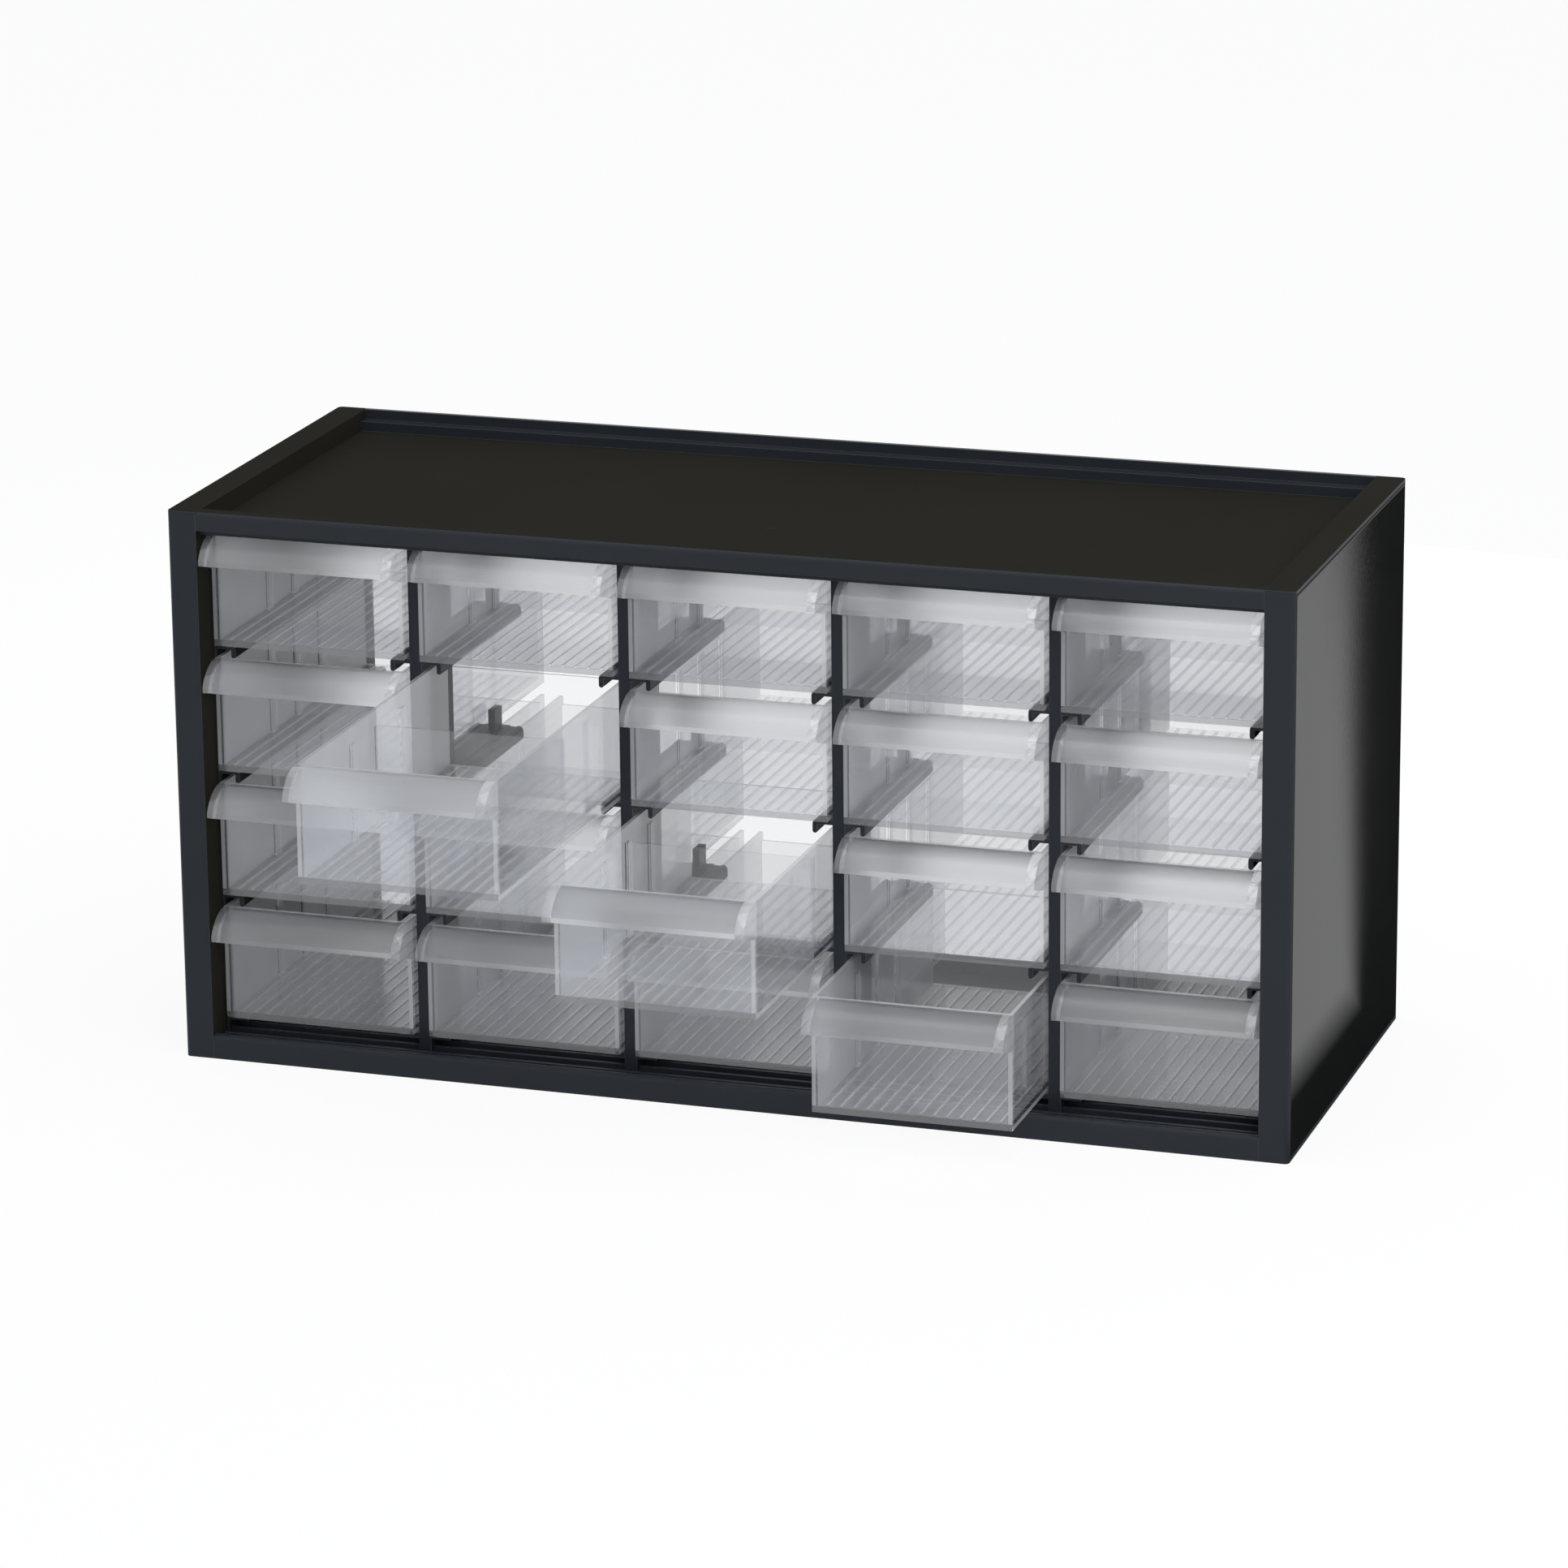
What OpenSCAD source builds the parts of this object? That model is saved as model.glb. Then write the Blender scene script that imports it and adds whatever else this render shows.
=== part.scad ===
// Desktop parts cabinet: a dark moulded case with a shallow tray on top, holding
// clear drawers that slide on the arms of four comb-shaped partitions.
// Millimetres. +X runs to the right seen from the front, -Y is the front, +Z is up.
// The origin is the middle of the flat underside.

/* [Drawers] */
// Number of drawer columns
col_count = 5; // [2:1:5]
// Number of drawer rows
row_count = 4; // [2:1:4]
// Outer width of one drawer
drawer_w = 78.4; // [60:0.2:110]
// Height of one drawer, from its underside to its crest
drawer_h = 45.5; // [38:0.5:80]
// Length of one drawer, from its front wall to its rear wall
drawer_l = 155; // [120:1:260]
// Thickness of the side walls and the rear wall
wall_t = 1.6; // [1.2:0.1:2.5]
// Thickness of the front wall
front_t = 2; // [1.4:0.1:3]
// Thickness of the drawer floor
floor_t = 1.8; // [1.2:0.1:3]
// How far the rear wall's top stays below the side walls' top, to pass the arm tips
rear_drop = 3.5; // [2:0.1:12]
// Width of one ridge on the drawer floor
ridge_w = 1; // [0.6:0.1:2]
// Height of the ridges on the drawer floor
ridge_h = 0.6; // [0.3:0.1:1.2]
// Spacing of the floor ridges
ridge_pitch = 5.2; // [4:0.1:12]

/* [Hood handle] */
// How far the hood stands in front of the front wall
hood_reach = 13; // [8:0.5:16]
// How far the hood falls from its crest to its front edge
hood_fall = 8.5; // [5:0.5:12]
// Height of the hood's upright lip
lip_h = 2; // [1:0.1:4]
// Thickness of the hood plate and of its lip
hood_t = 1.8; // [1.2:0.1:2.5]
// Height of the cheek at each end of the hood, along the front wall
cheek_h = 14.5; // [12:0.5:20]

/* [Dividers] */
// Thickness of a divider
divider_t = 1.4; // [1:0.1:2.5]
// Height of a divider
divider_h = 37; // [20:0.5:60]
// Number of divider slots along a drawer
slot_count = 3; // [1:2:5]
// Distance between neighbouring divider slots
slot_pitch = 26; // [15:1:40]
// Width of one slot rib, along the drawer
slot_rib_w = 1.2; // [0.8:0.1:2]
// How far a slot rib stands out of the side wall
slot_rib_proud = 1.4; // [0.8:0.1:2.5]

/* [Case] */
// Thickness of each side, from its outer face to the drawer space
side_t = 12.5; // [12.2:0.1:20]
// Width of the front face of each side
jamb_w = 11.8; // [10:0.1:12]
// Thickness of the posts of the partitions
post_w = 5; // [4.6:0.1:10]
// Height of the lowest drawer's underside above the table
base_h = 13.8; // [12.8:0.1:30]
// Height of the lip along the bottom front edge
lip_front_h = 9.7; // [6:0.1:11]
// Thickness of the bottom plate
plate_t = 2.5; // [2:0.1:5]
// Thickness of the tray floor
tray_t = 1.8; // [1.4:0.1:3]
// Depth of the tray on top
tray_depth = 7.9; // [6:0.1:20]
// Height of the rail along the top front edge
rail_h = 7.3; // [5:0.1:7.6]
// Wall thickness of rims, flanges and rails
rim_t = 2; // [1.5:0.1:3]
// Width of the rim on top of the front rail
front_rim_w = 6; // [5:0.5:10]
// Rounding of the front edges of the rail and the lip
edge_r = 2; // [1:0.1:2]
// Drop of the ledge inside the back rim, below the top
ledge_drop = 4; // [3:0.1:5]
// Width of the ledge inside the back rim
ledge_w = 5; // [4.5:0.1:8]
// Height of the flange below the tray along the open back
back_flange_h = 6; // [3:0.5:12]
// Thickness of the cover set into each side
cover_t = 2; // [1.5:0.1:2.4]
// Width of the side's border around its cover
cover_reveal = 1.4; // [1:0.1:3]
// Width of the ring that the cover is seated on
cover_seat = 3; // [2:0.1:6]
// Height of the locating ring on the cover's inner face
cover_ring_h = 2.5; // [1.5:0.1:4]

/* [Partitions] */
// Distance from the front of the case to the posts
post_set = 15; // [14.5:0.5:25]
// Depth of the solid front strip of a partition
strip_d = 33; // [15:1:60]
// Overall depth of a partition
partition_d = 89; // [70:1:150]
// Thickness of a partition behind its front strip
web_t = 3; // [2:0.1:4.4]
// Height of the bars that carry the arms
bar_h = 7; // [5.5:0.5:9]
// Height of the upright block at the rear end of each arm
stop_h = 8; // [5:0.5:20]
// Depth of that block
stop_d = 8; // [5:0.5:20]
// Height of the beam that joins the partition's rear to the tray
top_beam_h = 4; // [3:0.5:8]
// Thickness of the lugs below the tray that hold that beam
lug_t = 0.8; // [0.6:0.1:1.2]
// Height of those lugs
lug_h = 3; // [1:0.5:5]
// Step from a partition's face to its bottom tabs
tab_inset = 1; // [0.5:0.1:1.5]

/* [Arms] */
// How far an arm stands out of its wall
arm_w = 8; // [6:0.5:10]
// Thickness of an arm
arm_t = 2; // [1.5:0.1:2.2]
// Height of an arm with its turned-down tip
arm_drop = 5.5; // [5:0.1:5.8]
// Thickness of the tip
tip_t = 2; // [1.2:0.1:2]
// Width of the groove along the top of an arm
groove_w = 3; // [1:0.5:4]
// Depth of that groove
groove_d = 0.4; // [0.2:0.1:0.8]
// How far the side arms end before the back of the case
side_arm_end = 8; // [3:1:40]

/* [Bottom stiffeners] */
// Number of stiffening ribs behind the lip
rib_count = 4; // [2:1:4]
// Thickness of one rib
rib_t = 1.6; // [1:0.1:2.5]
// Height of a rib's top above the table
rib_top = 8; // [5:0.1:9]
// Spacing of the ribs
rib_pitch = 7.5; // [5:0.5:12]
// Distance from the front of the case to the first rib
rib_start = 9.2; // [6:0.1:12]

/* [Clearances] */
// Gap between a drawer and the wall on each side of it
side_gap = 0.8; // [0.5:0.1:1.5]
// Gap between the drawers of one column
row_gap = 5; // [4.8:0.1:8]
// Gap between the top drawers and the tray
head_gap = 0.5; // [0.4:0.1:3]
// Gap between a drawer's underside and its arms
slide_gap = 0.3; // [0.2:0.1:0.6]
// Distance from the front of the case to the front wall of a closed drawer
drawer_set = 11; // [9:0.5:13]
// Room behind a closed drawer
tail_gap = 14; // [8:1:60]
// Gap around tabs, ribs and dividers that are pushed in
fit_gap = 0.2; // [0.1:0.05:0.4]
// Gap between a cover and the border around it
cover_gap = 0.6; // [0.3:0.1:1]

/* [Drawers left open] */
// How far the drawer in row 2, column 2 is drawn out
pull_r2c2 = 128; // [0:1:135]
// How far the drawer in row 3, column 3 is drawn out
pull_r3c3 = 88; // [0:1:135]
// How far the drawer in row 4, column 4 is drawn out
pull_r4c4 = 42; // [0:1:135]

/* [Small details] */
// Length of the tabs that hold the top, the bottom and the partitions
tab_l = 20; // [10:1:24]
// Depth of those tabs
tab_h = 2; // [1:0.1:2.2]
// Length of the moulding mark in the tray
mark_l = 4; // [2:0.5:8]
// Width of the moulding mark
mark_w = 0.7; // [0.4:0.1:2]
// Depth of the moulding mark
mark_d = 0.4; // [0.2:0.1:0.8]
// Distance from the front of the case to the moulding mark
mark_set = 66; // [20:1:120]

/* [Hidden] */
$fn = 48;
cell_w = drawer_w + 2 * side_gap;
cell_pitch = cell_w + post_w;
row_pitch = drawer_h + row_gap;
cab_w = 2 * side_t + col_count * cell_w + (col_count - 1) * post_w;
cab_d = drawer_set + drawer_l + tail_gap;
tray_under = base_h + row_count * row_pitch - row_gap + head_gap;
tray_top = tray_under + tray_t;
cab_h = tray_top + tray_depth;
left_x = -cab_w / 2;
front_y = -cab_d / 2;
panel_w = cab_w - 2 * jamb_w;
bay_w = cab_w - 2 * side_t;
case_col = [0.10, 0.11, 0.13];
cover_col = [0.14, 0.15, 0.17];
clear_col = [0.80, 0.82, 0.86, 0.45];
divider_col = [0.86, 0.87, 0.90, 0.6];
arm_root = 1;
web_inset = (post_w - web_t) / 2;
hood_r = (pow(hood_reach, 2) + pow(hood_fall, 2)) / (2 * hood_fall);
eps = 0.01;

// Left edge of a cell, underside of a drawer, and how far a drawer stands open
function cell_x(col) = left_x + side_t + (col - 1) * cell_pitch;
function row_z(row) = base_h + (row_count - row) * row_pitch;
function pull(row, col) =
    row == 2 && col == 2 ? pull_r2c2 :
    row == 3 && col == 3 ? pull_r3c3 :
    row == 4 && col == 4 ? pull_r4c4 : 0;
function drawer_name(row, col) = str("drawer_r", row, "c", col);
function divider_name(row, col) = str("divider_r", row, "c", col);

// A block between two opposite corners
module block(lo, hi) {
    translate(lo) cube(hi - lo);
}

// Extrudes a side-view outline, drawn as [depth, height], to the right from x
module along_x(x, width) {
    translate([x, 0, 0]) rotate([90, 0, 90]) linear_extrude(width) children();
}

// Extrudes a front-view outline, drawn as [x, z], towards the back from depth
module along_y(depth, length) {
    translate([0, front_y + depth + length, 0]) rotate([90, 0, 0]) linear_extrude(length) children();
}

// Mirrors a left-hand piece to the right of the case
module right_hand() {
    mirror([1, 0, 0]) children();
}

// ---------------------------------------------------------------- arms

// Front view of one arm: top at z = 0, wall face at x = 0, tip to the right, root to the left
module arm_outline(has_tip, root) {
    difference() {
        union() {
            translate([-root, -arm_t]) square([root + arm_w - arm_t, arm_t]);
            translate([arm_w - arm_t, -arm_t]) intersection() {
                circle(r = arm_t);
                square(arm_t);
            }
            if (has_tip) {
                translate([arm_w - tip_t, tip_t / 2 - arm_drop])
                    square([tip_t, arm_drop - arm_t - tip_t / 2 + eps]);
                translate([arm_w - tip_t / 2, tip_t / 2 - arm_drop]) circle(d = tip_t);
            }
        }
        translate([(arm_w - groove_w) / 2, -groove_d]) square([groove_w, groove_d + eps]);
    }
}

// The arms of every row along one wall face, which looks to +x
module arm_set(face_x, length, root) {
    for (row = [1:row_count])
        along_y(post_set, length)
            translate([face_x, row_z(row) - slide_gap]) arm_outline(row < row_count, root);
}

// ---------------------------------------------------------------- sides and covers

// Top view of the left side's outline, with rounded outer corners
module side_plan() {
    translate([left_x + edge_r, front_y]) square([jamb_w - edge_r, cab_d]);
    translate([left_x, front_y + edge_r]) square([edge_r + eps, cab_d - 2 * edge_r]);
    for (y = [front_y + edge_r, front_y + cab_d - edge_r])
        translate([left_x + edge_r, y]) circle(r = edge_r);
}

// Left side: a shallow box, open outwards, with the arms on its inner face
module side_body() {
    lo = cover_reveal + cover_seat;
    union() {
        difference() {
            union() {
                linear_extrude(cab_h) side_plan();
                block([left_x + jamb_w - eps, front_y + post_set, plate_t],
                      [left_x + side_t, front_y + cab_d, tray_under]);
            }
            block([left_x - eps, front_y + cover_reveal, cover_reveal],
                  [left_x + cover_t, front_y + cab_d - cover_reveal, cab_h - cover_reveal]);
            block([left_x, front_y + lo, lo],
                  [left_x + jamb_w - rim_t, front_y + cab_d - lo, cab_h - lo]);
            for (z = [plate_t / 2, tray_under + tray_t / 2]) panel_tabs(z, fit_gap);
        }
        arm_set(left_x + side_t, cab_d - post_set - side_arm_end, arm_root);
    }
}

// Tabs on the left end of the top or the bottom panel, grown by a gap for their slots
module panel_tabs(z, grow) {
    thick = tray_t / 2;
    for (i = [1, 3, 5]) {
        y = front_y + i * cab_d / 6;
        block([left_x + jamb_w - tab_h - grow, y - tab_l / 2 - grow, z - thick / 2 - grow],
              [left_x + jamb_w + eps, y + tab_l / 2 + grow, z + thick / 2 + grow]);
    }
}

// Left cover: a flat plate with a ring on its inner face that drops into the box
module cover_body() {
    rim = cover_reveal + cover_gap;
    ring = cover_reveal + cover_seat + fit_gap;
    x1 = left_x + cover_t;
    union() {
        block([left_x, front_y + rim, rim], [x1, front_y + cab_d - rim, cab_h - rim]);
        difference() {
            block([x1 - eps, front_y + ring, ring],
                  [x1 + cover_ring_h, front_y + cab_d - ring, cab_h - ring]);
            block([x1 - 2 * eps, front_y + ring + rim_t, ring + rim_t],
                  [x1 + cover_ring_h + eps, front_y + cab_d - ring - rim_t, cab_h - ring - rim_t]);
        }
    }
}

module left_side() {
    color(case_col) side_body();
}

module right_side() {
    color(case_col) right_hand() side_body();
}

module left_cover() {
    color(cover_col) cover_body();
}

module right_cover() {
    color(cover_col) right_hand() cover_body();
}

// ---------------------------------------------------------------- top panel

// Side view of the front rail: a rounded box, open below
module rail_outline() {
    difference() {
        union() {
            translate([front_y, cab_h - rail_h]) square([front_rim_w, rail_h - edge_r]);
            translate([front_y + edge_r, cab_h - edge_r - eps])
                square([front_rim_w - edge_r, edge_r + eps]);
            translate([front_y + edge_r, cab_h - edge_r]) circle(r = edge_r);
            translate([front_y + front_rim_w - rim_t, tray_under])
                square([rim_t, cab_h - rail_h - tray_under + eps]);
        }
        translate([front_y + rim_t, tray_under - eps])
            square([front_rim_w - 2 * rim_t, cab_h - rim_t - tray_under]);
    }
}

// Side view of the back rim: a wall with a hollow ledge inside it
module back_rim_outline() {
    back = front_y + cab_d;
    ledge_z = cab_h - ledge_drop;
    translate([back - rim_t, tray_under]) square([rim_t, cab_h - tray_under]);
    translate([back - rim_t - ledge_w, ledge_z - rim_t]) square([ledge_w + eps, rim_t]);
    translate([back - rim_t - ledge_w, tray_under]) square([rim_t, ledge_z - tray_under]);
}

// Lugs below the tray that hold the top beam of each partition from both sides
module beam_lugs() {
    for (i = [1:col_count - 1], s = [-1, 1]) {
        x = partition_x(i) + s * (post_w / 2 - lug_t / 2);
        y = front_y + post_set + strip_d + fit_gap;
        block([x - lug_t / 2, y, tray_under - lug_h],
              [x + lug_t / 2, y + tab_l, tray_under + eps]);
    }
}

module top_panel() {
    color(case_col) union() {
        difference() {
            block([-panel_w / 2, front_y + front_rim_w - rim_t, tray_under],
                  [panel_w / 2, front_y + cab_d - rim_t - ledge_w + eps, tray_top]);
            block([-mark_l / 2, front_y + mark_set, tray_top - mark_d],
                  [mark_l / 2, front_y + mark_set + mark_w, tray_top + eps]);
        }
        along_x(-panel_w / 2, panel_w) rail_outline();
        along_x(-panel_w / 2, panel_w) back_rim_outline();
        block([-bay_w / 2, front_y + cab_d - rim_t, tray_under - back_flange_h],
              [bay_w / 2, front_y + cab_d, tray_under + eps]);
        beam_lugs();
        panel_tabs(tray_under + tray_t / 2, 0);
        right_hand() panel_tabs(tray_under + tray_t / 2, 0);
    }
}

// ---------------------------------------------------------------- base panel

// Side view of the lip along the bottom front edge
module lip_outline() {
    union() {
        translate([front_y, 0]) square([rim_t + edge_r / 2, lip_front_h - edge_r]);
        translate([front_y + edge_r, lip_front_h - edge_r - eps])
            square([rim_t - edge_r / 2, edge_r + eps]);
        translate([front_y + edge_r, lip_front_h - edge_r]) circle(r = edge_r);
    }
}

module base_panel() {
    color(case_col) difference() {
        union() {
            block([-panel_w / 2, front_y, 0], [panel_w / 2, front_y + cab_d, plate_t]);
            along_x(-panel_w / 2, panel_w) lip_outline();
            block([-bay_w / 2, front_y + cab_d - rim_t, 0], [bay_w / 2, front_y + cab_d, lip_front_h]);
            for (i = [0:rib_count - 1]) {
                y = front_y + rib_start + i * rib_pitch;
                block([fit_gap - bay_w / 2, y, plate_t - eps], [bay_w / 2 - fit_gap, y + rib_t, rib_top]);
            }
            panel_tabs(plate_t / 2, 0);
            right_hand() panel_tabs(plate_t / 2, 0);
        }
        for (i = [1:col_count - 1]) {
            block([partition_x(i) - post_w / 2 - fit_gap, front_y + post_set - fit_gap, plate_t],
                  [partition_x(i) + post_w / 2 + fit_gap, front_y + post_set + partition_d, rib_top + eps]);
            partition_tabs(i, fit_gap);
        }
    }
}

// ---------------------------------------------------------------- partitions

function partition_x(i) = cell_x(i + 1) - post_w / 2;

// Tabs below a partition, grown by a gap for their slots in the bottom plate
module partition_tabs(i, grow) {
    for (y = [post_set + tab_l / 2, post_set + partition_d - 1.5 * tab_l])
        block([partition_x(i) - post_w / 2 + tab_inset - grow, front_y + y - grow, plate_t - tab_h - grow],
              [partition_x(i) + post_w / 2 - tab_inset + grow, front_y + y + tab_l + grow, plate_t + eps]);
}

// One comb: a solid front strip, a beam along the bottom, one along the top, and bars
// that carry the arms of each row to an upright block at their rear end
module partition(i) {
    x0 = partition_x(i) - post_w / 2;
    x1 = x0 + post_w;
    y0 = front_y + post_set;
    y1 = y0 + partition_d;
    color(case_col) union() {
        block([x0, y0, plate_t], [x1, y0 + strip_d, tray_under]);
        block([x0 + lug_t + fit_gap, y0 + strip_d - eps, tray_under - top_beam_h],
              [x1 - lug_t - fit_gap, y1, tray_under]);
        for (row = [1:row_count]) {
            z = row_z(row) - slide_gap;
            bar_z = row == row_count ? plate_t : z - bar_h;
            block([x0 + web_inset, y0 + strip_d - eps, bar_z], [x1 - web_inset, y1, z]);
            block([x0 + web_inset, y1 - stop_d, z - eps], [x1 - web_inset, y1, z + stop_h]);
        }
        arm_set(x1, partition_d, web_inset + arm_root);
        translate([2 * partition_x(i), 0, 0]) mirror([1, 0, 0])
            arm_set(x1, partition_d, web_inset + arm_root);
        partition_tabs(i, 0);
    }
}

// ---------------------------------------------------------------- drawers

// Side view of a round whose highest point is the front wall's crest, and which
// passes through the upper edge of the lip
module hood_round(r) {
    translate([0, drawer_h - hood_r]) circle(r = r);
}

// Side view of the hood plate, which leaves the front wall level, with its upright lip
module hood_outline() {
    intersection() {
        difference() {
            hood_round(hood_r);
            hood_round(hood_r - hood_t);
        }
        translate([-hood_reach, drawer_h - hood_fall - lip_h])
            square([hood_reach + eps, hood_fall + lip_h]);
    }
    translate([-hood_reach, drawer_h - hood_fall - lip_h]) square([hood_t, lip_h + eps]);
}

// Side view of the cheek that closes each end of the hood
module cheek_outline() {
    intersection() {
        hood_round(hood_r);
        polygon([
            [eps, drawer_h],
            [-hood_reach, drawer_h],
            [-hood_reach, drawer_h - hood_fall - lip_h],
            [0, drawer_h - cheek_h],
            [eps, drawer_h - cheek_h]
        ]);
    }
}

function slot_y(i) = drawer_l / 2 + (i - (slot_count - 1) / 2) * slot_pitch;

// Pairs of upright ribs on both side walls, one pair for each divider slot
module slot_ribs() {
    for (i = [0:slot_count - 1], s = [-1, 1]) {
        y = slot_y(i) + s * (divider_t / 2 + fit_gap + slot_rib_w / 2);
        for (x = [wall_t - eps, drawer_w - wall_t - slot_rib_proud])
            block([x, y - slot_rib_w / 2, floor_t - eps],
                  [x + slot_rib_proud + eps, y + slot_rib_w / 2, floor_t + ridge_h + divider_h]);
    }
}

// Ridges that run from the front to the rear along the drawer floor
module floor_ridges() {
    room = drawer_w - 2 * (wall_t + slot_rib_proud) - 2 * ridge_w;
    count = floor(room / ridge_pitch);
    for (i = [0:count]) {
        x = drawer_w / 2 + (i - count / 2) * ridge_pitch;
        block([x - ridge_w / 2, front_t - eps, floor_t - eps],
              [x + ridge_w / 2, drawer_l - wall_t + eps, floor_t + ridge_h]);
    }
}

// One drawer, with the lower left corner of its front wall at the origin
module drawer_body() {
    union() {
        block([0, 0, 0], [drawer_w, drawer_l, floor_t]);
        block([0, 0, 0], [drawer_w, front_t, drawer_h]);
        block([0, drawer_l - wall_t, 0], [drawer_w, drawer_l, drawer_h - rear_drop]);
        for (x = [0, drawer_w - wall_t])
            block([x, 0, 0], [x + wall_t, drawer_l, drawer_h]);
        along_x(0, drawer_w) hood_outline();
        for (x = [0, drawer_w - wall_t]) along_x(x, wall_t) cheek_outline();
        slot_ribs();
        floor_ridges();
    }
}

// A divider in the middle slot, standing on the floor ridges
module divider_body() {
    gap = wall_t + fit_gap;
    block([gap, slot_y((slot_count - 1) / 2) - divider_t / 2, floor_t + ridge_h],
          [drawer_w - gap, slot_y((slot_count - 1) / 2) + divider_t / 2, floor_t + ridge_h + divider_h]);
}

// Puts a drawer or a divider into its cell, drawn out as far as its row and column say
module in_cell(row, col) {
    translate([cell_x(col) + side_gap, front_y + drawer_set - pull(row, col), row_z(row)]) children();
}

module drawer(row, col) {
    color(clear_col) in_cell(row, col) drawer_body();
}

module divider(row, col) {
    color(divider_col) in_cell(row, col) divider_body();
}

// ---------------------------------------------------------------- the whole cabinet

top_panel();
base_panel();
left_side();
right_side();
left_cover();
right_cover();
for (i = [1:col_count - 1])
    partition(i);
for (row = [1:row_count], col = [1:col_count]) {
    drawer(row, col);
    divider(row, col);
}
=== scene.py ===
# %% [markdown]
# # A parts cabinet with clear drawers
#
# The object is a tabletop cabinet: a dark moulded case with a shallow tray on top, and twenty clear
# drawers in it. Three of the drawers stand open. The CAD model already has every piece in its real
# place and size. This lesson dresses it: it softens the edges, gives each plastic its own finish,
# sets the case on a pale floor under soft light and looks at it from where the photograph was
# taken.

# %% Tools and the frame
import math

import bmesh
import bpy
from mathutils import Matrix, Vector


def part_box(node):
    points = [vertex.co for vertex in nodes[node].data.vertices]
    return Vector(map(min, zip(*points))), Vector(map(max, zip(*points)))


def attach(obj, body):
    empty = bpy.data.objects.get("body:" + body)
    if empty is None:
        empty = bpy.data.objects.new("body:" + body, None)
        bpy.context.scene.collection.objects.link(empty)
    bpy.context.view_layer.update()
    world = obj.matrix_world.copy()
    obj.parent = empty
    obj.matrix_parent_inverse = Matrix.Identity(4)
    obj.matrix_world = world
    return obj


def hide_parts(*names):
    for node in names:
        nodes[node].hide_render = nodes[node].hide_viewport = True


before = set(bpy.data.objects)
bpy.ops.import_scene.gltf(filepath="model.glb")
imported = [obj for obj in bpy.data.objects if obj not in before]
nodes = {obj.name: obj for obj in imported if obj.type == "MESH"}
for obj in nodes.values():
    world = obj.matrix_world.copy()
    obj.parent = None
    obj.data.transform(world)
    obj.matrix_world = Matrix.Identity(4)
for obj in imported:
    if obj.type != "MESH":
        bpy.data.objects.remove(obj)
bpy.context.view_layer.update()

# %% [markdown]
# ## Sizes that the looks need
#
# Everything in Blender is in metres, and the CAD's pieces are too. A few of the drawer's own sizes
# are needed as well, so that the finishes land on the right faces: where its front wall is, how
# thick its walls are, and where the floor's ridges end. The case's sizes are read from the frame.

# %% Sizes
MM = 0.001
ROWS, COLS = 4, 5

# The drawer's own sizes, as in the CAD model
HOOD_REACH = 13 * MM
CHEEK_H = 14.5 * MM
WALL_T = 1.6 * MM
FRONT_T = 2 * MM
FLOOR_T = 1.8 * MM
RIDGE_H = 0.6 * MM

# How squarely a face looks along an axis, as the part of its normal that lies along it: 1 is
# square on, and these are within 60, 26 and 8 degrees of that
LEANING, FACING, SQUARE_ON = 0.5, 0.9, 0.99

case_lo, case_hi = (Vector(c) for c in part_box("left_side"))
CASE_TOP = case_hi.z
CASE_FRONT = case_lo.y
CASE_BACK = case_hi.y
CASE_HALF = -case_lo.x
print("case: %.0f wide, %.0f deep, %.0f high (mm)" % (
    2 * CASE_HALF / MM, (CASE_BACK - CASE_FRONT) / MM, CASE_TOP / MM))


# %% [markdown]
# ## A small kit for materials
#
# A material in Blender is a graph of nodes. Writing `tree.nodes.new` and `tree.links.new` again and
# again hides the idea behind the typing, so one short helper adds a node, sets its plain values and
# wires the sockets that are given another node's output. Some sockets have no name of their own, so
# `i0` or `i1` stands for the first or the second input.

# %% Node helpers
def add(tree, kind, label=None, **values):
    """Adds a node. A value may be a number or a colour, or another node's output socket."""
    node = tree.nodes.new(kind)
    if label:
        node.label = label
    for key, value in values.items():
        if hasattr(node, key) and key not in node.inputs:
            setattr(node, key, value)
            continue
        by_number = key[0] == "i" and key[1:].isdigit()
        socket = node.inputs[int(key[1:]) if by_number else key]
        if isinstance(value, bpy.types.NodeSocket):
            tree.links.new(value, socket)
        else:
            socket.default_value = value
    return node


def opaque(colour, share=1.0):
    """A colour of three numbers as the four that a socket wants, made darker or paler."""
    return [c * share for c in colour] + [1.0]


def blank_material(name):
    """A new material with only its output node, and that output."""
    material = bpy.data.materials.new(name)
    material.use_nodes = True
    tree = material.node_tree
    tree.nodes.clear()
    return material, tree, tree.nodes.new("ShaderNodeOutputMaterial")


# %% [markdown]
# ## The case's plastic
#
# The case is injection moulded from dark blue-black plastic. Such a surface isn't one flat colour:
# the mould leaves a fine, slightly uneven grain, the gloss varies where the plastic flowed, and the
# edges are a little paler where light catches them and where hands wear them down. A noise texture
# gives the flow, a finer one the grain, and an attribute that marks the bevelled edges gives the
# paler edges, which are wear and a painted highlight in one. An image texture could do the same,
# but it would need a file and would blur close up. Three plastics share this recipe: the case's
# own, the smoother one of the side covers, and a dull one for the tray and for the insides of the
# cells, where the mould was left rough. The dull one is also darker and warmer: on the tray's level
# faces that is a painted warm reflection, and inside the cells it is simply a darker colour. The
# scale of a noise is in blotches per metre: 9 makes them as wide as a hand, and 900 about a
# millimetre wide.

# %% Case plastic
FLOW_SCALE, FLOW_SHADE = 9.0, 0.18
GLOSS_SHADE = 0.04
# How much of the paler edge colour the bevels take: wear and a painted highlight.
WEAR_AND_HIGHLIGHT_SHARE = 0.55
GRAIN_SCALE, GRAIN_STRENGTH, GRAIN_DEPTH = 900.0, 0.05, 0.2 * MM


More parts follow.
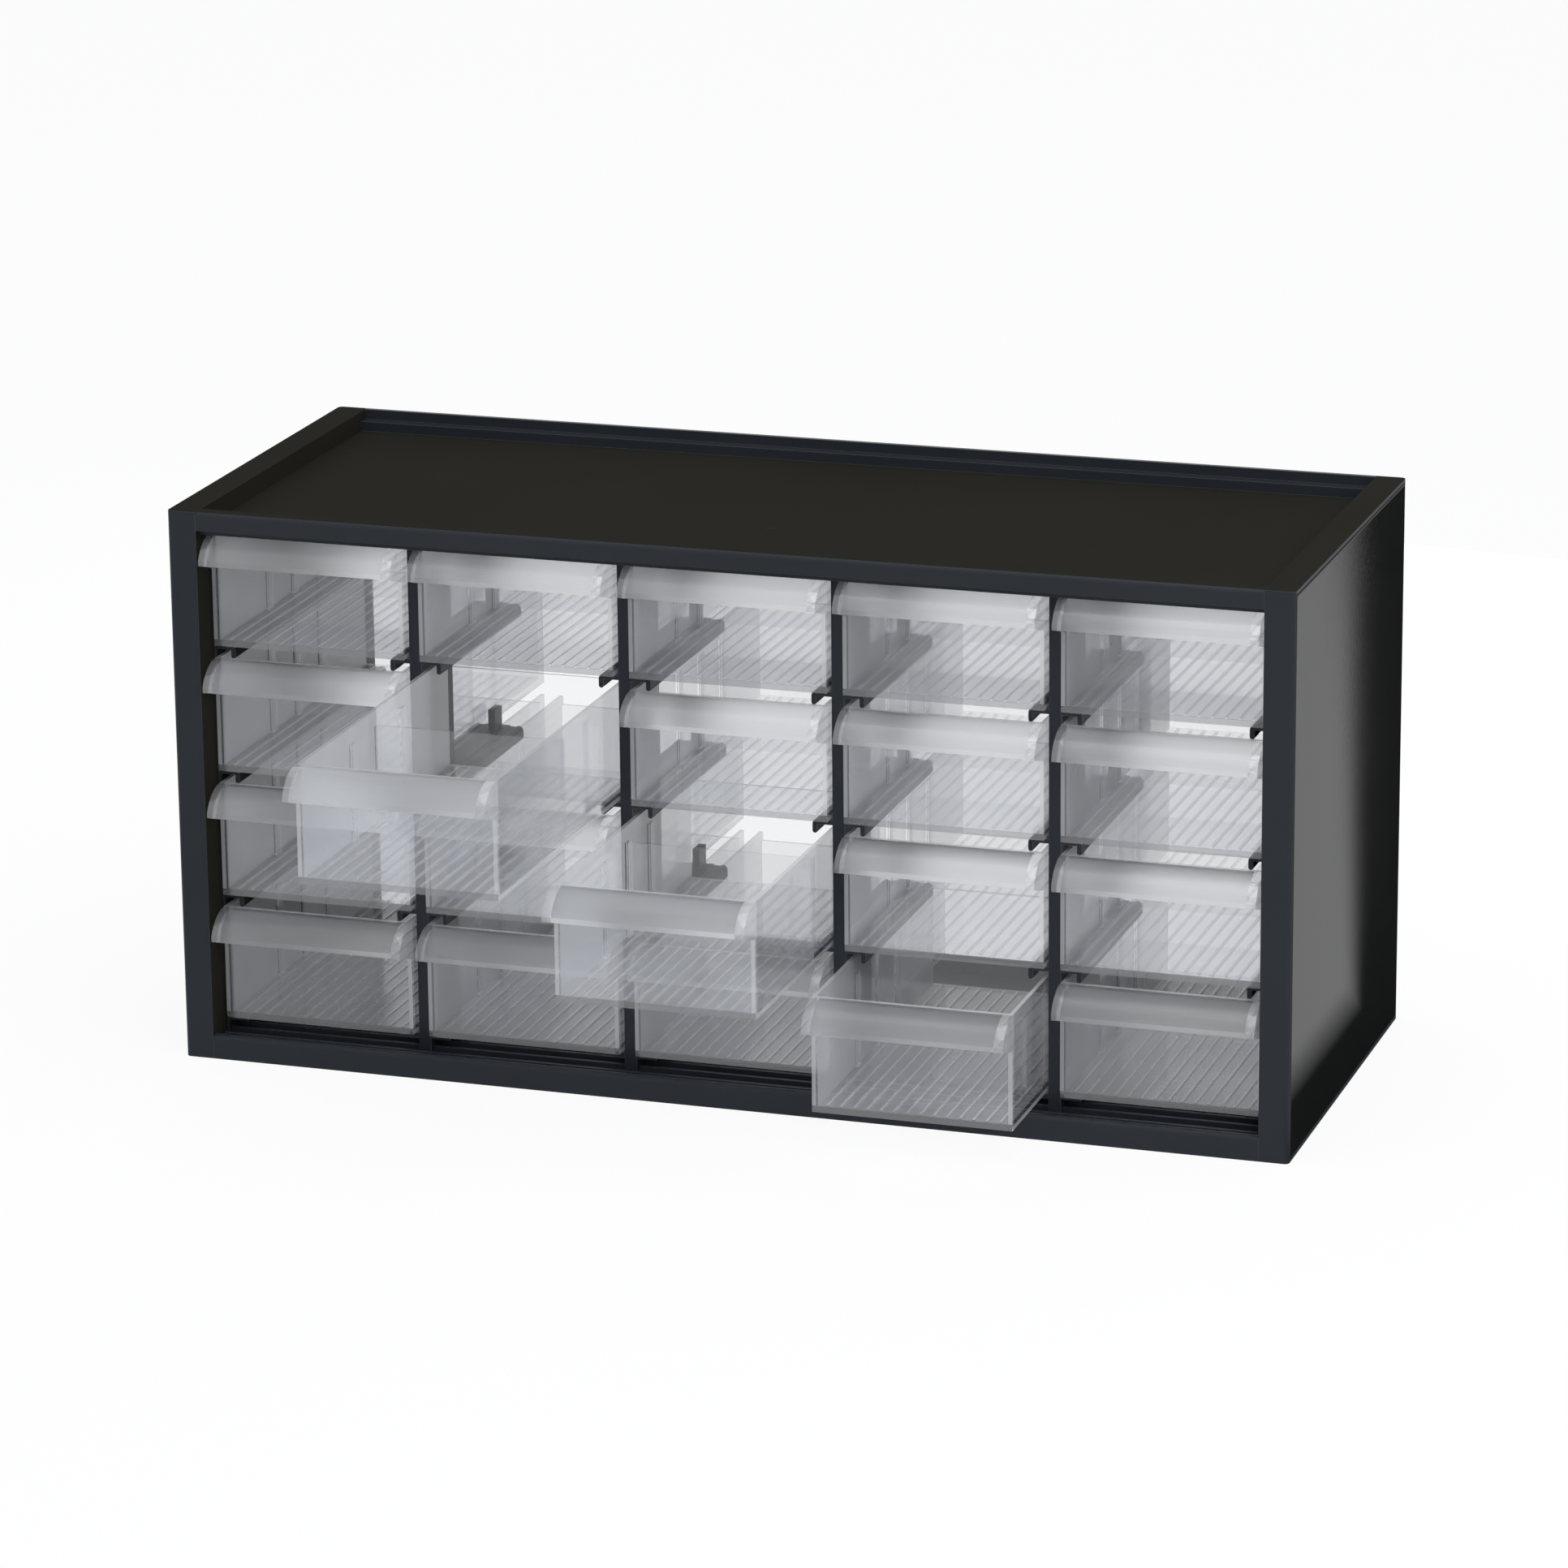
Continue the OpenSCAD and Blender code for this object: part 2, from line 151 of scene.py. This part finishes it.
def moulded(name, colour, worn_lit_edge_colour, roughness, specular):
    """Opaque moulded plastic with flow marks, a fine grain and paler edges, for wear and a painted
    highlight.
    """
    material, tree, out = blank_material(name)
    where = add(tree, "ShaderNodeTexCoord").outputs["Object"]
    flow = add(tree, "ShaderNodeTexNoise", "flow", Vector=where, Scale=FLOW_SCALE, Detail=3.0,
               Roughness=0.55)
    fine = add(tree, "ShaderNodeTexNoise", "grain", Vector=where, Scale=GRAIN_SCALE, Detail=2.0)
    worn_and_lit = add(tree, "ShaderNodeAttribute", "edge", attribute_name="edge_wear_and_highlight")
    body = add(tree, "ShaderNodeMix", data_type="RGBA", Factor=flow.outputs["Fac"],
               i6=opaque(colour, 1.0 - FLOW_SHADE), i7=opaque(colour, 1.0 + FLOW_SHADE))
    # Bevelled faces take the paler edge colour: wear and a painted highlight.
    wear_highlight_mix = add(tree, "ShaderNodeMath", operation="MULTIPLY", i0=worn_and_lit.outputs["Fac"], i1=WEAR_AND_HIGHLIGHT_SHARE)
    tint = add(tree, "ShaderNodeMix", data_type="RGBA", Factor=wear_highlight_mix.outputs[0], i6=body.outputs[2],
               i7=opaque(worn_lit_edge_colour))
    gloss = add(tree, "ShaderNodeMapRange", Value=flow.outputs["Fac"])
    gloss.inputs["To Min"].default_value = roughness - GLOSS_SHADE
    gloss.inputs["To Max"].default_value = roughness + GLOSS_SHADE
    bump = add(tree, "ShaderNodeBump", Height=fine.outputs["Fac"], Strength=GRAIN_STRENGTH,
               Distance=GRAIN_DEPTH)
    skin = add(tree, "ShaderNodeBsdfPrincipled", Roughness=gloss.outputs[0], Normal=bump.outputs[0])
    skin.inputs["Specular IOR Level"].default_value = specular
    tree.links.new(tint.outputs[2], skin.inputs["Base Color"])
    tree.links.new(skin.outputs[0], out.inputs["Surface"])
    return material


case_plastic = moulded("case_plastic", (0.0192, 0.0225, 0.0280), (0.095, 0.104, 0.122),
                       roughness=0.36, specular=0.115)
cover_plastic = moulded("cover_plastic", (0.0085, 0.0089, 0.0087), (0.045, 0.046, 0.048),
                        roughness=0.05, specular=0.041)
# Its darker, warmer colour is a painted warm reflection on the tray's level faces.
tray_plastic = moulded("tray_plastic", (0.0175, 0.0168, 0.0135), (0.040, 0.040, 0.038),
                       roughness=0.60, specular=0.001)
print("opaque finishes:", case_plastic.name, cover_plastic.name, tray_plastic.name)


# %% [markdown]
# ## The drawers' clear plastic
#
# A clear drawer wall does three things at once. It lets most light straight through, it mirrors the
# room more the flatter one looks along it, and it scatters a little light, which is why a stack of
# clear walls looks grey and milky. Real glass shading bends each ray at both faces of every wall,
# and many walls deep that turns to noise. So the walls here let light pass unbent, and the mirror
# share is worked out from the angle of view: `base + (1 - base) * x ** 4.5`, where x is 0 head on
# and rises to 1 for a look along the wall. Textbooks have a power of 5, and 4.5 came closer here.
#
# A wall has two faces and a ray meets both. Only the one that it enters by does the work, for the
# two of them, and the face that it leaves by is simply open: that halves the noise and the time.
#
# The hoods are the exception. Their plastic is frosted, so what lies behind shows as a blur, and a
# rough refraction of low index does that. Without it a hood over a bright cell would look no
# brighter than one over a dark cell.

# %% Clear plastic
MIRROR_POWER = 4.5
HAZE_SCALE, HAZE_SPREAD = 38.0, 0.2
FROST_INDEX = 1.25
RIPPLE_DEPTH = 0.0006


def clear(name, tint, haze, haze_colour, roughness, ripple=0.0, mirror_base=0.07,
          from_behind=0.5, blur=0.0):
    """Clear plastic: passes light through a tint, scatters a share of it, mirrors the rest."""
    material, tree, out = blank_material(name)
    where = add(tree, "ShaderNodeTexCoord").outputs["Object"]
    flow = add(tree, "ShaderNodeTexNoise", "flow", Vector=where, Scale=HAZE_SCALE, Detail=2.0)
    uneven = add(tree, "ShaderNodeMapRange", Value=flow.outputs["Fac"])
    uneven.inputs["To Min"].default_value = haze * (1.0 - HAZE_SPREAD)
    uneven.inputs["To Max"].default_value = haze * (1.0 + HAZE_SPREAD)
    if blur:
        passing = add(tree, "ShaderNodeBsdfRefraction", Color=opaque(tint), Roughness=blur,
                      IOR=FROST_INDEX)
    else:
        passing = add(tree, "ShaderNodeBsdfTransparent", Color=opaque(tint))
    bump = add(tree, "ShaderNodeBump", Height=flow.outputs["Fac"], Strength=ripple,
               Distance=RIPPLE_DEPTH)
    milk = add(tree, "ShaderNodeBsdfDiffuse", Color=opaque(haze_colour))
    glow = add(tree, "ShaderNodeBsdfTranslucent", Color=opaque(haze_colour))
    scatter = add(tree, "ShaderNodeMixShader", i0=from_behind, i1=milk.outputs[0],
                  i2=glow.outputs[0])
    body = add(tree, "ShaderNodeMixShader", i0=uneven.outputs[0], i1=passing.outputs[0],
               i2=scatter.outputs[0])
    view = add(tree, "ShaderNodeLayerWeight", Blend=0.5, Normal=bump.outputs[0])
    steep = add(tree, "ShaderNodeMath", operation="POWER", i0=view.outputs["Facing"],
                i1=MIRROR_POWER)
    mirror = add(tree, "ShaderNodeMath", operation="MULTIPLY_ADD", i0=steep.outputs[0],
                 i1=1.0 - mirror_base, i2=mirror_base)
    gloss = add(tree, "ShaderNodeBsdfGlossy", Roughness=roughness, Normal=bump.outputs[0])
    skin = add(tree, "ShaderNodeMixShader", i0=mirror.outputs[0], i1=body.outputs[0],
               i2=gloss.outputs[0])
    side = add(tree, "ShaderNodeNewGeometry")
    leave = add(tree, "ShaderNodeBsdfTransparent", Color=opaque((1.0, 1.0, 1.0)))
    both = add(tree, "ShaderNodeMixShader", i0=side.outputs["Backfacing"], i1=skin.outputs[0],
               i2=leave.outputs[0])
    tree.links.new(both.outputs[0], out.inputs["Surface"])
    return material


# %% [markdown]
# A drawer isn't equally clear all over. The mould's satin sides leave its inner walls hazy, a thin
# edge seen along its length is white, and the front is a little bluer than the rest. The white of
# the thin edges, of the upper rims and of the floor's ridges is a painted highlight, a whiter and
# denser haze on those faces. Each line below is one such finish: the tint of the light that passes,
# the share that is scattered, the colour of that haze, the roughness of the mirror and the ripple
# of the surface. The frosted hood has three numbers more: the mirror share head on, how much of its
# haze is lit from behind, and how rough the refraction is.

# %% Clear finishes
FINISHES = {
    "drawer_clear": ((0.95, 0.955, 0.96), 0.05, (0.80, 0.82, 0.86), 0.05, 0.06),
    "drawer_front": ((0.91, 0.915, 0.935), 0.17, (0.70, 0.73, 0.80), 0.06, 0.06),
    "drawer_side": ((0.75, 0.755, 0.775), 0.08, (0.62, 0.64, 0.69), 0.08, 0.04),
    "drawer_satin": ((0.91, 0.915, 0.925), 0.42, (0.80, 0.815, 0.85), 0.12, 0.04),
    "drawer_floor": ((0.92, 0.925, 0.935), 0.12, (0.82, 0.83, 0.86), 0.10, 0.04),
    # The whiter haze of the ridges is a painted highlight.
    "drawer_ridge_highlight": ((0.90, 0.905, 0.91), 0.32, (0.88, 0.885, 0.90), 0.12),
    "hood_clear": ((0.91, 0.915, 0.925), 0.22, (0.90, 0.91, 0.95), 0.10),
    "hood_frost": ((0.99, 0.992, 0.995), 0.13, (0.84, 0.87, 0.93), 0.25, 0.0, 0.05, 0.7, 0.55),
    # So is the white haze of the narrow bevels and of the upper rims.
    "drawer_line_highlight": ((0.86, 0.87, 0.88), 0.50, (0.96, 0.965, 0.98), 0.15),
    "drawer_rim_highlight": ((0.80, 0.81, 0.83), 0.40, (0.93, 0.94, 0.96), 0.10),
    "drawer_seam": ((0.86, 0.87, 0.88), 0.38, (0.90, 0.91, 0.94), 0.10),
    "drawer_edge": ((0.55, 0.56, 0.58), 0.20, (0.70, 0.71, 0.74), 0.10),
}
drawer_finishes = [clear(name, *values) for name, values in FINISHES.items()]
slot_of = {name: slot for slot, name in enumerate(FINISHES)}
divider_clear = clear("divider_clear", (0.94, 0.945, 0.95), 0.08, (0.82, 0.83, 0.86), 0.08, 0.05)
print("clear finishes:", ", ".join(m.name for m in drawer_finishes + [divider_clear]))


# %% [markdown]
# ## Softened edges
#
# No moulded edge is knife sharp, and the thin bright line that a rounded edge catches is most of
# what makes plastic look like plastic. A shader can fake it, but the fake is lost when the model is
# exported. So each piece is copied from the CAD, its loose triangles are joined into whole faces,
# and its sharp edges get a small real bevel. The new faces are marked in an attribute, which the
# case's material reads as wear and as a painted highlight, a paler colour on the bevels. The mark
# is kept on faces and not on corners, because a corner lends its mark to every face around it, and
# then a whole narrow face would look rubbed and lit.

# %% Bevelled copy of a CAD piece
SAME_POINT = 2e-6
SAME_PLANE = math.radians(0.5)
SHARP_EDGE = math.radians(30)
SHADE_SHARP = math.radians(28)
BEVEL_STEPS = 2
FLAT_FROM = 20 * MM * MM


def whole_faces(node):
    """The CAD piece as a bmesh with shared corners and whole flat faces."""
    bm = bmesh.new()
    bm.from_mesh(nodes[node].data)
    bmesh.ops.remove_doubles(bm, verts=bm.verts, dist=SAME_POINT)
    bmesh.ops.dissolve_limit(bm, angle_limit=SAME_PLANE, verts=bm.verts, edges=bm.edges)
    return bm


def soften(bm, width):
    """Bevels the sharp edges, and marks the faces that this makes in the layer edge_wear_and_highlight."""
    # The mark stands for edge wear and for a painted highlight.
    layer = bm.faces.layers.float.new("edge_wear_and_highlight")
    sharp = [e for e in bm.edges if e.is_manifold and e.calc_face_angle(0.0) > SHARP_EDGE]
    made = bmesh.ops.bevel(bm, geom=sharp, offset=width, offset_type="OFFSET", affect="EDGES",
                           segments=BEVEL_STEPS, profile=0.5, material=-1, clamp_overlap=True)
    for face in made["faces"]:
        face[layer] = 1.0
    return len(sharp)


def new_mesh(bm, name):
    """Turns the bmesh into a mesh and frees it."""
    mesh = bpy.data.meshes.new(name)
    bm.to_mesh(mesh)
    bm.free()
    return mesh


def new_object(name, data):
    """An object at the origin, in the scene."""
    thing = bpy.data.objects.new(name, data)
    bpy.context.scene.collection.objects.link(thing)
    return thing


def finish_piece(bm, name, body, materials, stands_for):
    """Turns the bmesh into a piece that rides on a body and stands for a CAD piece."""
    mesh = new_mesh(bm, name)
    mesh.shade_smooth()
    mesh.set_sharp_from_angle(angle=SHADE_SHARP)
    for face in mesh.polygons:
        if face.area > FLAT_FROM:
            face.use_smooth = False
    for material in materials:
        mesh.materials.append(material)
    piece = new_object(name, mesh)
    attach(piece, body)
    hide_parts(stands_for)
    return piece


# %% [markdown]
# ## The case
#
# The case is ten pieces: the tray, the bottom, two sides with their covers, and four comb-shaped
# partitions. They all get the same treatment, only the width of the bevel differs, because a long
# outer edge is rounded more than the thin arms that the drawers slide on. The dull plastic goes on
# the tray's level faces, up to the rim at the back, and on what faces sideways inside the case; on
# the level faces its warmer colour is a painted warm reflection.

# %% Case pieces
BEVEL_MM = {"top_panel": 0.55, "base_panel": 0.5, "left_side": 0.4, "right_side": 0.4,
            "left_cover": 0.45, "right_cover": 0.45}
BEVEL_MM.update({"partition_%d" % i: 0.25 for i in range(1, COLS)})
TRAY_BAND = 12 * MM
BACK_RIM = 9 * MM
OUTER_SKIN = 5 * MM


def is_dull(face):
    """True for a face of the tray or of a cell's inside."""
    in_tray = (face.normal.z > FACING and face.center.z > CASE_TOP - TRAY_BAND
               and face.center.y < CASE_BACK - BACK_RIM)
    in_cell = abs(face.normal.x) > FACING and abs(face.center.x) < CASE_HALF - OUTER_SKIN
    return in_tray or in_cell


for node, width in BEVEL_MM.items():
    bm = whole_faces(node)
    count = soften(bm, width * MM)
    cover = "cover" in node
    piece = finish_piece(bm, node + "_shell", "cabinet",
                         [cover_plastic if cover else case_plastic], node)
    if not node.startswith("partition"):
        piece.data.materials.append(tray_plastic)
        for face in piece.data.polygons:
            face.material_index = 1 if is_dull(face) else 0
    print("%-14s %4d edges bevelled, %5d faces" % (node, count, len(piece.data.polygons)))


# %% [markdown]
# ## The drawers
#
# All drawers come out of one mould, so they look alike. The hood curves down over the fingers and
# is frosted, except for its two ends. The ridges of the floor and the upper edges of the walls
# catch the light and look whiter, and that whiteness is painted into their finishes as a highlight.
# Where two walls meet, the eye looks along the thickness of one of them, so a drawer seems
# outlined:
# that takes a strip as wide as the wall. One mesh can carry several materials, so the flat faces
# are first cut along these lines, and then each face picks its finish by where it lies and which
# way it looks.

# %% Cutting faces
ON_PLANE = 1e-7


def cut(bm, axis, places, wanted):
    """Cuts the wanted faces, and no others, with planes across the axis (0, 1, 2 for x, y, z)."""
    across = Vector((0, 0, 0))
    across[axis] = 1
    for place in places:
        faces = [f for f in bm.faces if wanted(f)]
        edges = list(dict.fromkeys(e for f in faces for e in f.edges))
        verts = list(dict.fromkeys(v for f in faces for v in f.verts))
        bmesh.ops.bisect_plane(bm, geom=faces + edges + verts, dist=ON_PLANE,
                               plane_co=across * place, plane_no=across)


# %% [markdown]
# A face is told apart by its middle and its normal. The questions come in an order that lets each
# one be short: the ridges and the narrow bevels are taken out first, then the hood, then the upper
# edges, and what is left after the front and the sides is plain clear wall.

# %% One drawer
DRAWER_BEVEL, DIVIDER_BEVEL = 0.28 * MM, 0.3 * MM
FIELD_INSET = 3.6 * MM
EDGE_H = 2.6 * MM
LINE_W = 0.3 * MM
RIM_BAND = 4 * MM
CLEAR_OF_WALL = 0.3 * MM
RIM_SLACK = 0.5 * MM
SLACK = 0.1 * MM


def finish_of(face, lo, hi):
    """The finish that one face of a drawer gets, where lo and hi are the drawer's corners."""
    c, n = face.calc_center_median(), face.normal
    front_wall = lo.y + HOOD_REACH
    floor_top = lo.z + FLOOR_T
    in_field = lo.x + FIELD_INSET < c.x < hi.x - FIELD_INSET
    # Ridges: whiter haze, a painted highlight.
    if n.z > -LEANING and floor_top + SLACK < c.z < floor_top + RIDGE_H + SLACK:
        return "drawer_ridge_highlight"
    # Narrow bevels: white haze, a painted highlight.
    if face.calc_area() < LINE_W * max(edge.calc_length() for edge in face.edges):
        return "drawer_line_highlight"
    if c.y < front_wall - CLEAR_OF_WALL:
        return "hood_frost" if in_field and abs(n.x) < LEANING else "hood_clear"
    # Upper faces near the top: the rim's whiter haze is a painted highlight.
    if n.z > LEANING and c.z > hi.z - RIM_BAND:
        return "drawer_edge" if c.y < front_wall + FRONT_T + RIM_SLACK else "drawer_rim_highlight"
    if abs(n.y) > FACING and c.y < front_wall + SLACK:
        if c.z < lo.z + EDGE_H:
            return "drawer_edge"
        if not lo.x + WALL_T < c.x < hi.x - WALL_T:
            return "drawer_seam"
        return "drawer_clear" if c.z > hi.z - CHEEK_H else "drawer_front"
    if abs(n.x) > FACING and not lo.x + WALL_T / 2 < c.x < hi.x - WALL_T / 2:
        at_end = c.y < front_wall + FRONT_T or c.y > hi.y - WALL_T or c.z < floor_top
        return "drawer_seam" if at_end else "drawer_side"
    if abs(n.x) > FACING and c.z > floor_top + 2 * RIDGE_H:
        return "drawer_satin"
    if abs(n.z) > FACING and c.z < floor_top + SLACK:
        return "drawer_floor"
    return "drawer_clear"


def dress_drawer(tag):
    """The bevelled copy of one drawer, cut and finished face by face."""
    node = "drawer_" + tag
    lo, hi = (Vector(c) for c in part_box(node))
    front_wall = lo.y + HOOD_REACH
    bm = whole_faces(node)
    soften(bm, DRAWER_BEVEL)

    def on_hood(f):
        in_front = f.calc_center_median().y < front_wall - CLEAR_OF_WALL
        return in_front and abs(f.normal.x) < LEANING

    def on_front(f):
        return f.normal.y < -SQUARE_ON

    def on_side(f):
        return abs(f.normal.x) > SQUARE_ON

    cut(bm, 0, (lo.x + FIELD_INSET, hi.x - FIELD_INSET), on_hood)
    cut(bm, 0, (lo.x + WALL_T, hi.x - WALL_T), on_front)
    cut(bm, 2, (lo.z + EDGE_H, hi.z - CHEEK_H), on_front)
    cut(bm, 1, (front_wall + FRONT_T, hi.y - WALL_T), on_side)
    cut(bm, 2, (lo.z + FLOOR_T,), on_side)
    for face in bm.faces:
        face.material_index = slot_of[finish_of(face, lo, hi)]
    return finish_piece(bm, "clear_" + tag, "bin_" + tag, drawer_finishes, node)


# %% [markdown]
# Each drawer rides on its own body together with its divider, so the two slide out as one.

# %% All drawers and dividers
faces = 0
for row in range(1, ROWS + 1):
    for col in range(1, COLS + 1):
        tag = "r%dc%d" % (row, col)
        drawer = dress_drawer(tag)
        bm = whole_faces("divider_" + tag)
        soften(bm, DIVIDER_BEVEL)
        plate = finish_piece(bm, "plate_" + tag, "bin_" + tag, [divider_clear],
                             "divider_" + tag)
        faces += len(drawer.data.polygons) + len(plate.data.polygons)
print("drawers and dividers:", ROWS * COLS, "of each,", faces, "faces in all")


# %% [markdown]
# ## Floor and surroundings
#
# The photograph shows the cabinet on pure white. The white comes from the colour of the floor and
# the world where the camera or a reflection looks at them, not from more light on the object, so
# that the plastic keeps its own tones. Light Path tells the two cases apart. A tenth of the floor
# stays paper, for the soft shadow under the case.

# %% Floor
def looked_at(tree):
    """An output that is 1 for a ray of the eye, of a mirror or of frosted plastic, and else 0."""
    path = add(tree, "ShaderNodeLightPath")
    seen = add(tree, "ShaderNodeMath", operation="MAXIMUM", i0=path.outputs["Is Camera Ray"],
               i1=path.outputs["Is Glossy Ray"])
    return add(tree, "ShaderNodeMath", operation="MAXIMUM", i0=seen.outputs[0],
               i1=path.outputs["Is Transmission Ray"]).outputs[0]


def studio_sheet(name, cells, size, shift=(0.0, 0.0, 0.0)):
    """A flat square sheet, `size` from its middle to its edge, moved by shift."""
    bm = bmesh.new()
    bmesh.ops.create_grid(bm, x_segments=cells, y_segments=cells, size=size)
    bmesh.ops.translate(bm, verts=bm.verts, vec=shift)
    return new_object(name, new_mesh(bm, name))


WHITE = opaque((1.0, 1.0, 1.0))
FLOOR_HALF = 6.0
SHADOWLESS = 0.90

floor = studio_sheet("studio_floor", cells=8, size=FLOOR_HALF)

material, tree, out = blank_material("floor_white")
paper = add(tree, "ShaderNodeBsdfDiffuse", Color=opaque((0.80, 0.80, 0.80)))
share = add(tree, "ShaderNodeMath", operation="MULTIPLY", i0=looked_at(tree), i1=SHADOWLESS)
white = add(tree, "ShaderNodeEmission", Color=WHITE, Strength=1.0)
mix = add(tree, "ShaderNodeMixShader", i0=share.outputs[0], i1=paper.outputs[0],
          i2=white.outputs[0])
tree.links.new(mix.outputs[0], out.inputs["Surface"])
floor.data.materials.append(material)

# %% [markdown]
# A glossy side that is seen at a flat angle mirrors what lies beyond it. In the photograph it fades
# from grey to near black towards the rear and at its foot, so something dark stood there, beyond
# the edge of a light sheet. A black card on the floor, there for reflections only, gives that.
# Right beside the case it is dark as a painted shadow: the floor's shadow next to the case, which
# the white floor doesn't show in mirrors. It is dark again beyond a slanting line, and clear in
# between. The slant makes up for the height of what is mirrored: a point higher up on the side
# mirrors a place further out and further back.

# %% Black card
CARD_HALF, CARD_FRONT, CARD_LIFT = 1.2, 0.15, 0.5 * MM
# The dark strip right beside the case is a painted shadow, seen only in reflections.
NEAR_DARK, NEAR_CLEAR = 15 * MM, 29 * MM
FAR_CLEAR, FAR_DARK, SLANT = 4 * MM, 30 * MM, 4.20

card = studio_sheet("black_card", cells=2, size=CARD_HALF,
                    shift=(CASE_HALF + CARD_HALF, CARD_HALF - CARD_FRONT, CARD_LIFT))
for kind in ("camera", "diffuse", "transmission", "volume_scatter", "shadow"):
    setattr(card, "visible_" + kind, False)

material, tree, out = blank_material("card_black")
where = add(tree, "ShaderNodeTexCoord").outputs["Object"]
part = add(tree, "ShaderNodeSeparateXYZ", Vector=where)
near_shadow = add(tree, "ShaderNodeMapRange", Value=part.outputs["X"])
near_shadow.inputs["From Min"].default_value = CASE_HALF + NEAR_DARK
near_shadow.inputs["From Max"].default_value = CASE_HALF + NEAR_CLEAR
near_shadow.inputs["To Min"].default_value = 1.0
near_shadow.inputs["To Max"].default_value = 0.0
beyond = add(tree, "ShaderNodeMath", operation="MULTIPLY_ADD", i0=part.outputs["X"], i1=-SLANT,
             i2=part.outputs["Y"])
far = add(tree, "ShaderNodeMapRange", Value=beyond.outputs[0])
far.inputs["From Min"].default_value = FAR_CLEAR - SLANT * CASE_HALF
far.inputs["From Max"].default_value = FAR_DARK - SLANT * CASE_HALF
dark = add(tree, "ShaderNodeMath", operation="MAXIMUM", i0=near_shadow.outputs[0], i1=far.outputs[0])
black = add(tree, "ShaderNodeBsdfDiffuse", Color=opaque((0.01, 0.01, 0.01)))
open_part = add(tree, "ShaderNodeBsdfTransparent", Color=WHITE)
mix = add(tree, "ShaderNodeMixShader", i0=dark.outputs[0], i1=open_part.outputs[0],
          i2=black.outputs[0])
tree.links.new(mix.outputs[0], out.inputs["Surface"])
card.data.materials.append(material)
print("black card: dark from %.0f mm behind the middle of the side" % (FAR_DARK / MM))

# %% [markdown]
# The world around is a pale, slightly cool room as a source of light, and pure white to look at.

# %% World
world = bpy.data.worlds.new("studio")
bpy.context.scene.world = world
world.use_nodes = True
tree = world.node_tree
tree.nodes.clear()
out = tree.nodes.new("ShaderNodeOutputWorld")
room = add(tree, "ShaderNodeBackground", Color=opaque((0.96, 0.98, 1.0)), Strength=0.80)
sheet = add(tree, "ShaderNodeBackground", Color=WHITE, Strength=1.0)
mix = add(tree, "ShaderNodeMixShader", i0=looked_at(tree), i1=room.outputs[0], i2=sheet.outputs[0])
tree.links.new(mix.outputs[0], out.inputs["Surface"])


# %% [markdown]
# ## Lamps
#
# Large lamps give soft edges to every shadow and long, quiet highlights, as a light tent does. Two
# do most of the work: one above and in front, one from the right. A small third one behind the
# cabinet lights the clear drawers from the back, and it is hidden from mirrors and frosted plastic,
# or its own square shape would show in them.

# %% Lamps
def soft_lamp(name, place, aim, size, watts):
    """A square area lamp at a place, turned towards a point."""
    lamp = new_object(name, bpy.data.lights.new(name, "AREA"))
    lamp.data.shape = "SQUARE"
    lamp.data.size = size
    lamp.data.energy = watts
    lamp.location = place
    lamp.rotation_euler = (Vector(aim) - Vector(place)).to_track_quat("-Z", "Y").to_euler()
    return lamp


soft_lamp("overhead", place=(0.3, -0.5, 1.9), aim=(0.0, 0.0, 0.1), size=1.6, watts=14.0)
soft_lamp("front_right", place=(0.9, -0.9, 0.8), aim=(0.1, 0.0, 0.1), size=0.8, watts=4.6)
behind = soft_lamp("behind", place=(0.1, 0.8, 0.2), aim=(0.0, 0.0, 0.12), size=0.5, watts=3.5)
behind.visible_glossy = behind.visible_transmission = False

# %% [markdown]
# ## Camera
#
# The photograph was taken from the right, a little above, with a long lens. The corners of the case
# give the numbers: the camera stands about 2.5 m away, 18 degrees to the right and 17 degrees up,
# and is tilted by half a degree. The lens is found in pixels first, and turned into millimetres for
# a sensor 36 mm wide.

# %% Camera
AZIMUTH, ELEVATION, ROLL = (math.radians(a) for a in (18.12, 16.55, -0.56))
DISTANCE = 2.5046
AIM = Vector((25.8 * MM, CASE_FRONT, 132.0 * MM))
FOCAL_PX, PHOTO_PX, SENSOR_MM = 8198.4, 1932, 36.0

back = Vector((math.sin(AZIMUTH) * math.cos(ELEVATION), -math.cos(AZIMUTH) * math.cos(ELEVATION),
               math.sin(ELEVATION)))
right = Vector((math.cos(AZIMUTH), math.sin(AZIMUTH), 0.0))
up = back.cross(right)
across = math.cos(ROLL) * right + math.sin(ROLL) * up
upward = math.cos(ROLL) * up - math.sin(ROLL) * right
camera = new_object("camera", bpy.data.cameras.new("camera"))
camera.data.sensor_width = SENSOR_MM
camera.data.lens = FOCAL_PX / PHOTO_PX * SENSOR_MM
camera.data.clip_end = 50.0
place = AIM + back * DISTANCE
camera.matrix_world = Matrix((
    (across.x, upward.x, back.x, place.x),
    (across.y, upward.y, back.y, place.y),
    (across.z, upward.z, back.z, place.z),
    (0.0, 0.0, 0.0, 1.0)))
bpy.context.scene.camera = camera
print("camera: %.1f mm lens, %.2f m away" % (camera.data.lens, DISTANCE))

# %% [markdown]
# ## Colour and light paths
#
# The Standard view shows colours as they are written. A look through the whole cabinet crosses
# dozens of clear walls, so the limit on see-through bounces is raised, or the walls at the back
# would turn black.

# %% View settings
scene = bpy.context.scene
scene.view_settings.view_transform = "Standard"
scene.cycles.transparent_max_bounces = 64
